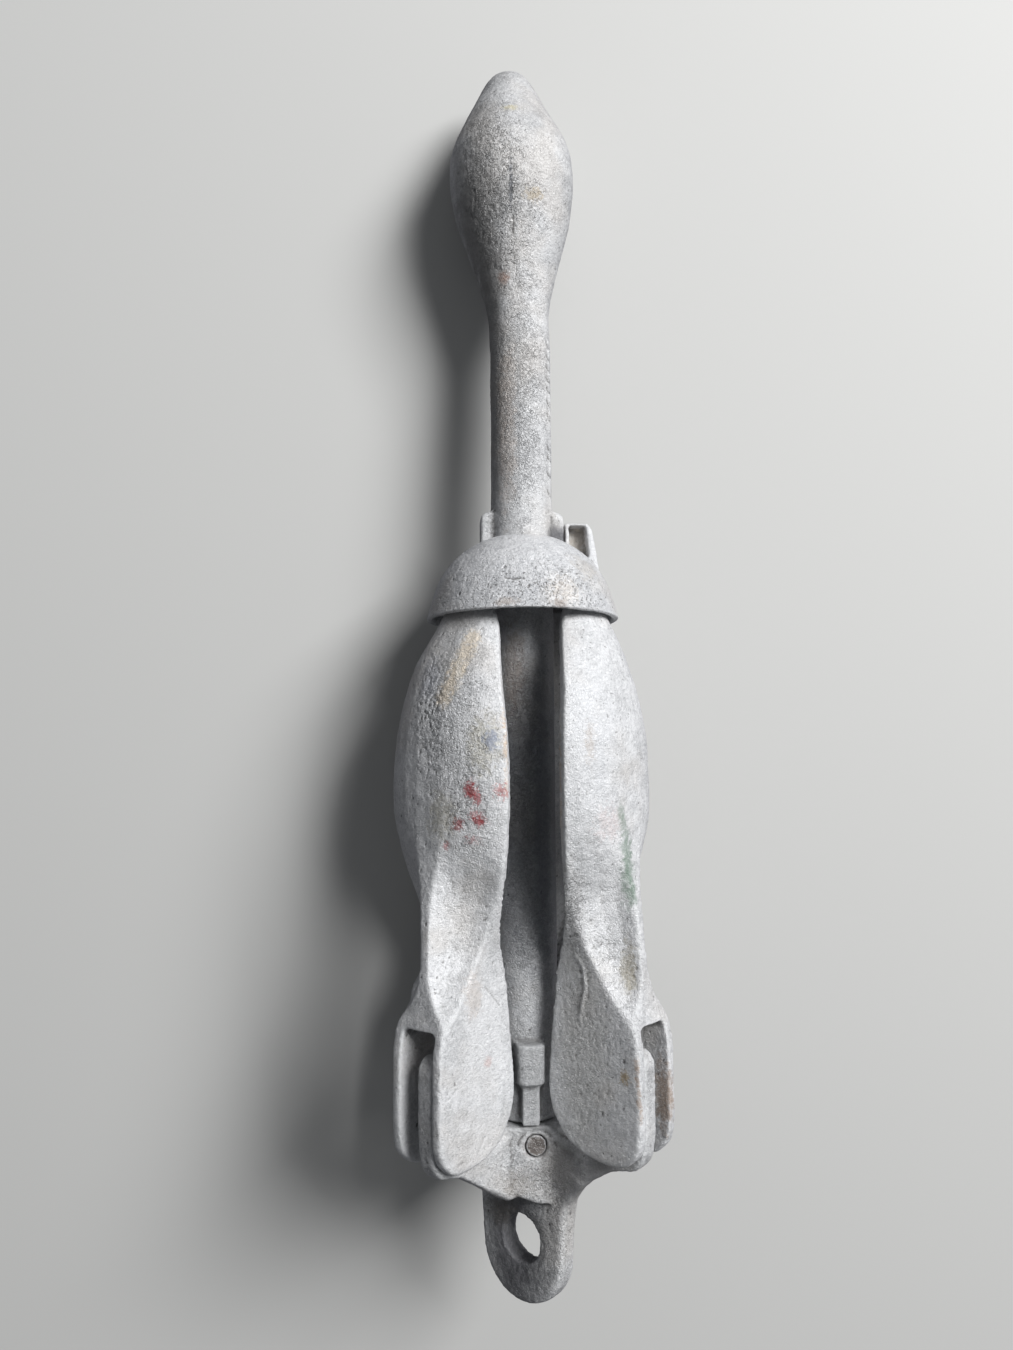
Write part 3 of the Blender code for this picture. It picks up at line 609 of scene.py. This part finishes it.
shank_peels = [
    ((-9.5, 350.0, 15.0), (10.0, 38.0, 13.0), 1.0),
    ((0.0, 340.0, 16.0), (9.0, 30.0, 8.0), 0.25),
    ((-2.0, 285.0, 9.0), (10.0, 54.0, 7.0), 0.5),
    ((0.0, 150.0, 9.0), (12.0, 76.0, 7.0), 0.7),
]
shank_pits = [
    ((2.0, 343.0, 18.0), (7.0, 12.0, 6.0), 0.7),
    ((-2.0, 285.0, 9.0), (12.0, 54.0, 9.0), 0.35),
]
shank_bm = even_skin(solid_of("shank"), SHANK_FACE, rounds=3)
carve(shank_bm, seed=1, marks=shank_marks, rough=0.35, areas=shank_areas)
shank_paint = zinc_material("zinc_shank", shank_stains_and_shade, peels=shank_peels, pits=shank_pits)
place_casting("shank_casting", shank_bm, "shank_and_crown", "galvanised_shank", shank_paint,
              "shank")

# ---- Crown and its pin ---------------------------------------------------------
# The casting at the foot of the shank: a square hub, four fork arms and the eye
# plate. A rusty rivet holds it to the shank and ends a little below its face.
CROWN_FACE = 0.58 * MM
PIN_FACE = 0.4 * MM
HUB_FACE_Z = 12.0
EYE_HALF = 5.2
EYE_RIM_R = 8.3
EYE_RIM_STEP = 20
RIVET_X = 1.6
RIVET_Y = 50.3
eye_axis = Vector((-math.sqrt(0.5), 0.0, math.sqrt(0.5)))
eye_side = Vector((math.sqrt(0.5), 0.0, math.sqrt(0.5)))
eye_middle = Vector((0.0, EYE_FROM_END / MM, 0.0))
crown_marks = []
# the eye's rims are rounded off
for half in (-EYE_HALF, EYE_HALF):
    rim = [eye_middle + eye_axis * half
           + eye_side * (math.cos(math.radians(t)) * EYE_RIM_R)
           + Vector((0.0, math.sin(math.radians(t)) * EYE_RIM_R, 0.0))
           for t in range(0, 361, EYE_RIM_STEP)]
    crown_marks.append((rim, 2.3, -0.75))
# a curved tear in the skin above the rivet
TEAR_MIDDLE_Y = 50.4
TEAR_WIDE = 5.4
TEAR_HIGH = 4.6
tear = [(RIVET_X + math.cos(math.radians(t)) * TEAR_WIDE,
         TEAR_MIDDLE_Y + math.sin(math.radians(t)) * TEAR_HIGH,
         HUB_FACE_Z) for t in range(40, 171, 13)]
crown_marks.append((tear, 1.0, -0.5))
crown_stains_and_shade = [
    # rust round the rivet, and a brown patch below it
    ((RIVET_X, RIVET_Y, HUB_FACE_Z), (4.8, 4.6, 3.0), (0.20, 0.16, 0.13), 0.65, 0.6, 0.8, 0.4),
    ((-3.5, 39.4, HUB_FACE_Z), (6.0, 5.0, 4.0), (0.34, 0.31, 0.28), 0.45, 1.0, 0.6, 0.5),
    # painted shade on the eye plate's upper face, on the hub's right and on the arm next to it,
    # all turned away from the light
    ((-5.0, 17.0, 2.0), (13.5, 25.0, 14.0), (0.12, 0.12, 0.13), 0.93, 0.3, 0.3, 0.1),
    ((10.5, 42.0, 15.0), (8.0, 12.0, 8.5), (0.16, 0.16, 0.165), 0.82, 0.4, 0.3, 0.2),
    ((19.0, 46.0, 22.5), (8.0, 9.0, 7.0), (0.20, 0.20, 0.205), 0.60, 0.4, 0.3, 0.3),
    # a painted shadow between the hub and the shank, a darker patch on the plate's left, and
    # painted shade over the hub's right
    ((1.5, 57.0, 11.0), (8.0, 3.6, 5.0), (0.15, 0.15, 0.15), 0.65, 0.6, 0.5, 0.3),
    ((-8.4, 26.0, -2.0), (9.0, 6.0, 8.0), (0.12, 0.11, 0.10), 0.70, 0.8, 0.4, 0.3),
    ((8.0, 46.0, 14.0), (6.0, 10.0, 10.0), (0.24, 0.23, 0.22), 0.40, 0.9, 0.4, 0.5),
]
crown_peels = [((0.0, 30.0, 8.0), (22.0, 34.0, 16.0), 0.35)]
crown_pits = [((0.0, 30.0, 8.0), (22.0, 34.0, 16.0), 0.30)]
crown_bm = even_skin(solid_of("crown"), CROWN_FACE, rounds=4)
carve(crown_bm, seed=2, marks=crown_marks, rough=0.55)
crown_paint = zinc_material("zinc_crown", crown_stains_and_shade, peels=crown_peels, pits=crown_pits)
place_casting("crown_casting", crown_bm, "shank_and_crown", "galvanised_crown", crown_paint,
              "crown")

pin_bm = even_skin(solid_of("crown_pin"), PIN_FACE, rounds=2)
carve(pin_bm, seed=3, marks=[], rough=0.6)
pin_paint = zinc_material("rusted_iron", [], pale=(0.17, 0.145, 0.13), dull=(0.09, 0.075, 0.07),
                          dirt_and_shade=(0.04, 0.035, 0.03), bump=0.8)
place_casting("crown_rivet", pin_bm, "shank_and_crown", "rusted_crown_pin", pin_paint,
              "crown_pin")

# ---- Collar --------------------------------------------------------------------
# The sliding cup that holds the flukes' tips, cast with a hollow hood on one side
# to push it by. Its skin is full of small blow holes, and one cold crack.
COLLAR_FACE = 0.44 * MM
collar_marks = [
    # the crack
    ([(-8.2, 220.5, 27.1), (-6.8, 220.0, 27.7), (-5.4, 219.6, 28.0), (-4.1, 220.1, 28.1),
      (-2.2, 219.9, 28.4)], 0.55, -0.40),
]
# blow holes all over the dome: (x, y, z, reach, height)
BLOW_HOLES = (
    (-12.4, 217.5, 26.5, 0.72, -0.49), (-21.4, 216.4, 20.4, 0.80, -0.42),
    (-8.1, 223.8, 25.6, 0.64, -0.42), (-3.9, 218.1, 28.8, 0.56, -0.42),
    (4.0, 215.0, 29.7, 0.64, -0.42), (24.6, 216.4, 16.4, 0.72, -0.42),
    (13.3, 217.2, 26.1, 0.80, -0.49), (9.0, 218.4, 27.4, 0.64, -0.42),
    (11.4, 214.6, 27.4, 0.56, -0.42), (6.4, 213.6, 29.3, 0.56, -0.35),
    (-16.0, 213.4, 25.4, 0.64, -0.35), (-5.0, 214.0, 29.4, 0.48, -0.35),
)
for x, y, z, reach, height in BLOW_HOLES:
    collar_marks.append(([(x, y, z), (x + 0.1, y + 0.2, z)], reach, height))
# a cluster of tiny holes on the right of the dome: they lie on a spiral, fewer and
# shallower outwards, and follow the dome as it falls away to the right
CLUSTER_MIDDLE = Vector((9.6, 216.8, 27.9))
CLUSTER_HOLES = 30
CLUSTER_TURN = 2.4
CLUSTER_STEP = 0.95
CLUSTER_INSIDE = 0.3
CLUSTER_UP = 0.9
CLUSTER_FALL = 0.36
CLUSTER_DEEP = 0.48
CLUSTER_SHALLOWER = 0.012
TINY_HOLE = Vector((0.25, 0.15, 0.0))
TINY_REACH = 0.65
for k in range(CLUSTER_HOLES):
    turn = k * CLUSTER_TURN
    out = CLUSTER_STEP * math.sqrt(k) + CLUSTER_INSIDE
    place = CLUSTER_MIDDLE + Vector((math.cos(turn) * out, math.sin(turn) * out * CLUSTER_UP,
                                     -math.cos(turn) * out * CLUSTER_FALL))
    collar_marks.append(([place, place + TINY_HOLE], TINY_REACH,
                         -CLUSTER_DEEP + CLUSTER_SHALLOWER * out * out))
collar_areas = [((12.0, 220.0, 24.0), (16.0, 14.0, 14.0), 0.6)]
collar_stains_light_and_shade = [
    # a brown patch above the rim
    ((-7.6, 212.8, 29.6), (4.5, 1.6, 3.0), (0.40, 0.33, 0.28), 0.55, 1.0, 0.8, 0.6),
    # a chalky bloom round the cluster, lightened further as a painted highlight where the dome
    # faces the light, with tan grains in it
    ((9.6, 216.4, 27.9), (8.0, 6.4, 6.4), (0.88, 0.87, 0.86), 0.60, 1.0, 0.5, 0.7),
    ((9.6, 216.8, 27.9), (6.0, 5.4, 5.4), (0.52, 0.44, 0.36), 0.34, 1.6, 1.1, 0.9),
    # painted shade all round under the rim's edge, and a dark line in the crack
    ((0.0, 209.3, 0.0), (90.0, 0.85, 90.0), (0.12, 0.12, 0.12), 0.75, 0.45, 0.5, 0.5),
    ((-5.4, 220.0, 28.0), (3.2, 0.32, 1.6), (0.10, 0.10, 0.10), 0.70, 0.5, 0.9, 0.4),
    # rust by the rim, brown grit in the hood and a tan cast below it
    ((8.2, 212.3, 29.6), (3.0, 1.6, 3.0), (0.28, 0.21, 0.17), 0.55, 1.4, 0.9, 0.6),
    ((18.6, 237.5, -3.4), (3.6, 8.0, 4.2), (0.52, 0.47, 0.40), 0.75, 0.6, 0.9, 0.55),
    ((18.5, 226.0, 20.0), (7.0, 6.0, 8.0), (0.50, 0.46, 0.41), 0.40, 1.2, 0.4, 0.6),
    # painted shade inside the cup, where little light reaches
    ((0.0, 214.0, 0.0), (24.0, 12.0, 24.0), (0.20, 0.19, 0.18), 0.60, 0.2, 0.3, 0.3),
]
collar_peels = [((8.0, 216.0, 26.0), (24.0, 14.0, 20.0), 0.25)]
collar_pits = [
    ((0.0, 213.0, 18.0), (36.0, 16.0, 26.0), 0.80),
    ((9.6, 216.8, 27.9), (6.6, 6.0, 6.0), 0.9),
]
collar_bm = even_skin(solid_of("collar"), COLLAR_FACE, rounds=3)
carve(collar_bm, seed=4, marks=collar_marks, rough=0.5, areas=collar_areas)
collar_paint = zinc_material("zinc_collar", collar_stains_light_and_shade, pale=(0.74, 0.745, 0.76),
                             dull=(0.46, 0.47, 0.49), peels=collar_peels, pits=collar_pits)
place_casting("collar_casting", collar_bm, "collar", "galvanised_collar", collar_paint,
              "collar")

# ---- Flukes and their pins -----------------------------------------------------
# Four alike castings: two cheeks astride a crown arm, a waist scooped on both
# sides of a spine, and a long palm. The dip in zinc has closed over the pins' ends.
# Only the upper two show all their skin, so they are finer and have stains and painted
# light and shade of their own.
UPPER_FACE = 0.56 * MM
UPPER_ROUNDS = 6
LOWER_FACE = 0.80 * MM
LOWER_ROUNDS = 4
FIRST_FLUKE_SEED = 5
FLUKES = [
    ("fluke_upper_right", 45.0), ("fluke_upper_left", 135.0),
    ("fluke_lower_left", 225.0), ("fluke_lower_right", 315.0),
]
marks_of = {
    # a scratch in the scoop
    "fluke_upper_left": [
        ([(-14.1, 100.0, 23.6), (-11.6, 96.4, 21.0), (-9.4, 93.1, 18.8)], 0.7, -0.35),
    ],
    # a raised scar, bent like a hook, above the cheek
    "fluke_upper_right": [
        ([(10.6, 111.9, 21.1), (14.5, 105.7, 24.2), (15.2, 100.0, 24.7),
          (13.5, 89.7, 23.0)], 1.0, 0.50),
    ],
}
areas_of = {
    # coarse on the palm, smoother in the scoop and on the cheek
    "fluke_upper_left": [
        ((-29.0, 180.0, 22.0), (9.0, 26.0, 10.0), 0.9),
        ((-18.0, 155.0, 32.0), (9.0, 16.0, 6.0), 0.5),
        ((-25.0, 108.0, 30.0), (12.0, 16.0, 12.0), -0.3),
        ((-16.0, 76.0, 26.0), (10.0, 24.0, 10.0), -0.3),
    ],
    # coarse on the cheek, smoother on the palm
    "fluke_upper_right": [
        ((14.0, 84.0, 24.0), (12.0, 34.0, 12.0), 0.25),
        ((18.0, 190.0, 30.0), (14.0, 40.0, 12.0), -0.25),
    ],
}


def patches(path, count, size, colour, strength, ragged, fine, broken):
    """The same stain laid at even steps from one end of a path of two points to the other."""
    start = Vector(path[0])
    end = Vector(path[1])
    return [(tuple(start.lerp(end, k / (count - 1))), size, colour, strength, ragged, fine,
             broken) for k in range(count)]


FLUKE_PALE = (0.77, 0.775, 0.79)
FLUKE_DULL = (0.50, 0.508, 0.52)
SHADE = (0.20, 0.20, 0.21)
RED = (0.36, 0.05, 0.055)
PINK = (0.56, 0.36, 0.33)
CREAM = (0.76, 0.67, 0.55)
BLUISH = (0.31, 0.34, 0.42)
OLIVE = (0.42, 0.39, 0.29)
GREEN = (0.20, 0.27, 0.22)
# the pale of the painted light on parts that face the light
PAINTED_LIGHT = (0.88, 0.885, 0.90)
stains_light_and_shade_of = {
    "fluke_upper_left": [
        # the side that faces the shank
        ((-2.0, 150.0, 16.0), (9.0, 84.0, 17.0), SHADE, 0.75, 0.3, 0.2, 0.2),
        # the cream scrape near the tip, brightest along its middle
        *patches(((-18.0, 202.2, 25.0), (-21.8, 194.2, 26.6)), 3, (3.6, 4.0, 4.0), CREAM,
                 0.80, 0.9, 0.7, 0.3),
        *patches(((-22.8, 192.0, 26.6), (-26.2, 184.8, 25.4)), 3, (3.6, 3.8, 4.0), CREAM,
                 0.85, 1.0, 0.7, 0.3),
        ((-21.8, 192.0, 26.8), (1.2, 9.0, 3.0), (0.84, 0.80, 0.74), 0.70, 1.2, 0.8, 0.4),
        # painted bluish shade by the outer edge, which turns away from the light, and a blue spot
        # in an olive bloom
        ((-30.2, 191.0, 18.6), (4.8, 9.0, 6.0), BLUISH, 0.30, 0.8, 0.5, 0.5),
        ((-15.6, 171.0, 34.3), (6.4, 11.0, 5.0), OLIVE, 0.50, 1.1, 0.5, 0.6),
        ((-13.3, 171.9, 34.7), (3.2, 4.6, 3.0), BLUISH, 0.90, 1.1, 0.7, 0.4),
        # a tan streak down the inner edge
        *patches(((-8.9, 180.0, 33.9), (-8.2, 161.0, 36.0)), 3, (1.5, 7.5, 2.4),
                 (0.60, 0.46, 0.34), 0.75, 1.1, 0.8, 0.5),
        # dabs of red paint, and a thinner one at the inner edge
        ((-19.2, 157.6, 33.2), (2.1, 3.4, 2.8), RED, 0.95, 1.2, 0.9, 0.3),
        ((-17.2, 155.4, 34.2), (2.0, 2.6, 2.8), RED, 0.80, 1.5, 1.0, 0.4),
        ((-16.6, 148.6, 34.2), (3.0, 2.2, 2.8), RED, 0.95, 1.3, 0.9, 0.3),
        ((-17.8, 150.6, 33.6), (2.6, 1.6, 2.8), RED, 0.50, 2.0, 1.1, 0.6),
        ((-22.7, 147.6, 31.0), (2.0, 2.4, 2.8), RED, 0.75, 1.7, 1.0, 0.5),
        ((-18.6, 143.0, 32.8), (2.6, 1.5, 2.4), RED, 0.45, 2.2, 1.1, 0.7),
        ((-25.6, 141.4, 28.4), (1.1, 1.5, 2.0), RED, 0.55, 1.8, 1.2, 0.5),
        ((-10.0, 157.0, 35.8), (3.0, 3.0, 3.0), (0.50, 0.15, 0.14), 0.70, 1.8, 0.9, 0.6),
        # olive grime above the scoop, and a pink spot on the cheek
        ((-27.0, 150.0, 27.0), (6.0, 8.0, 6.0), OLIVE, 0.45, 1.0, 0.5, 0.7),
        ((-13.6, 78.6, 23.1), (1.9, 2.0, 2.6), PINK, 0.80, 0.7, 1.0, 0.4),
        # painted light on the cheek, which faces the light, a tan bloom at the foot of the scoop,
        # and painted light inside the fork's outer cheek, where it lies in shadow
        ((-15.0, 80.0, 24.0), (13.0, 44.0, 12.0), PAINTED_LIGHT, 0.42, 0.6, 0.3, 0.4),
        ((-17.8, 98.7, 27.4), (4.4, 8.0, 5.0), (0.60, 0.53, 0.48), 0.50, 0.9, 0.4, 0.5),
        ((-38.4, 72.0, 24.0), (2.6, 16.0, 4.0), (0.74, 0.74, 0.75), 0.50, 0.6, 0.5, 0.4),
    ],
    "fluke_upper_right": [
        # the side that faces the shank
        ((2.0, 150.0, 16.0), (8.0, 84.0, 17.0), SHADE, 0.85, 0.3, 0.2, 0.2),
        # a brown streak and a faint pink bloom on the palm
        ((15.6, 170.0, 34.3), (2.0, 7.5, 4.0), (0.44, 0.36, 0.29), 0.55, 1.4, 0.8, 0.7),
        ((21.0, 147.4, 32.4), (6.0, 6.4, 5.0), PINK, 0.24, 1.6, 0.6, 0.8),
        # the green smear into the scoop, fainter at its upper end
        *patches(((25.4, 150.4, 28.9), (27.0, 143.6, 27.8)), 3, (2.0, 3.6, 3.0), GREEN,
                 0.50, 1.3, 0.6, 0.7),
        *patches(((27.2, 139.6, 27.6), (28.2, 126.0, 28.0)), 4, (3.0, 5.0, 3.4), GREEN,
                 0.72, 1.2, 0.5, 0.5),
        # a greyer palm, painted light on the waist, which faces the light, and the inner scoop
        # darker
        ((18.0, 176.0, 33.0), (11.0, 30.0, 8.0), (0.56, 0.575, 0.60), 0.35, 0.6, 0.3, 0.4),
        ((22.0, 112.0, 30.0), (7.0, 32.0, 8.0), (0.88, 0.88, 0.89), 0.50, 0.6, 0.3, 0.4),
        ((10.2, 121.7, 28.3), (5.0, 26.0, 7.0), (0.30, 0.295, 0.29), 0.40, 0.8, 0.4, 0.6),
        # an olive stain by the outer rim of the waist, and painted shade, greenish grey, on the
        # cheek, which faces away from the light
        ((27.5, 104.0, 27.6), (3.0, 10.0, 4.0), (0.38, 0.34, 0.25), 0.65, 1.0, 0.5, 0.5),
        ((13.5, 82.0, 24.0), (13.0, 40.0, 12.0), (0.45, 0.44, 0.405), 0.35, 0.6, 0.3, 0.4),
        # rust at the top of the fork's slot, down its edge and inside it
        ((24.4, 76.1, 34.0), (1.9, 2.4, 2.5), (0.36, 0.26, 0.13), 0.80, 1.3, 1.0, 0.4),
        *patches(((27.2, 80.0, 36.7), (28.2, 66.0, 36.4)), 5, (0.9, 2.8, 1.4),
                 (0.33, 0.20, 0.11), 0.50, 1.3, 0.8, 0.6),
        ((37.7, 68.0, 24.8), (3.4, 12.0, 4.0), (0.30, 0.20, 0.13), 0.75, 0.9, 0.5, 0.4),
        # a brown streak down the inner edge
        *patches(((6.4, 186.0, 33.6), (6.6, 150.0, 34.0)), 4, (1.1, 10.0, 3.0),
                 (0.46, 0.37, 0.29), 0.60, 1.0, 0.6, 0.6),
    ],
}
peels_of = {
    "fluke_upper_left": [
        ((-25.0, 178.0, 27.0), (13.0, 38.0, 14.0), 0.52),
        ((-18.0, 152.0, 32.0), (10.0, 22.0, 8.0), 0.45),
        ((-16.0, 84.0, 26.0), (12.0, 36.0, 12.0), 0.20),
    ],
    "fluke_upper_right": [
        ((13.0, 84.0, 24.0), (12.0, 40.0, 12.0), 0.35),
        ((10.2, 121.7, 28.3), (5.5, 26.0, 8.0), 1.00),
        ((24.0, 100.0, 32.0), (10.0, 40.0, 10.0), 0.30),
    ],
}
pits_of = {
    "fluke_upper_left": [((-22.0, 170.0, 26.0), (16.0, 46.0, 16.0), 0.45)],
    "fluke_upper_right": [((13.0, 84.0, 24.0), (14.0, 40.0, 14.0), 0.35)],
}
# where a pin stands, and the caps of zinc that close over its two ends
PIN_OUT = 32.7 * MM
PIN_UP = 69.3 * MM
CHEEK_HALF = 9.7 * MM
CAP_R = 3.7 * MM
CAP_DEEP = 1.5 * MM
CAP_SUNK = 0.03 * MM
CAP_SIDES = 24
for number, (name, azimuth) in enumerate(FLUKES):
    a = math.radians(azimuth)
    radial = Vector((math.cos(a), 0.0, math.sin(a)))
    pin_way = Vector((-math.sin(a), 0.0, math.cos(a)))
    pin_name = name.replace("fluke", "fluke_pin")
    pin_solid = solid_of(pin_name)
    ends = [v.co.dot(pin_way) for v in pin_solid.verts]
    pin_middle = (max(ends) + min(ends)) / 2.0
    fluke_solid = solid_of(name)
    spin = Vector((0.0, 0.0, 1.0)).rotation_difference(pin_way).to_matrix().to_4x4()
    for side in (-1.0, 1.0):
        middle = pin_middle + side * (CHEEK_HALF - CAP_SUNK - CAP_DEEP / 2.0)
        where = Matrix.Translation(radial * PIN_OUT + Vector((0.0, PIN_UP, 0.0))
                                   + pin_way * middle)
        bmesh.ops.create_cone(fluke_solid, cap_ends=True, segments=CAP_SIDES, radius1=CAP_R,
                              radius2=CAP_R, depth=CAP_DEEP, matrix=where @ spin)
    if name in marks_of:
        fluke_bm = even_skin(fluke_solid, UPPER_FACE, UPPER_ROUNDS)
    else:
        fluke_bm = even_skin(fluke_solid, LOWER_FACE, LOWER_ROUNDS)
    carve(fluke_bm, FIRST_FLUKE_SEED + number, marks_of.get(name, []), rough=0.5,
          areas=areas_of.get(name, ()))
    paint = zinc_material("zinc_" + name, stains_light_and_shade_of.get(name, []), pale=FLUKE_PALE,
                          dull=FLUKE_DULL, peels=peels_of.get(name, ()),
                          pits=pits_of.get(name, ()))
    place_casting(name + "_casting", fluke_bm, name, "galvanised_fluke", paint, name)
    pin_skin = even_skin(pin_solid, LOWER_FACE, rounds=1)
    place_casting(pin_name + "_rod", pin_skin, name, "galvanised_pin", paint, pin_name)
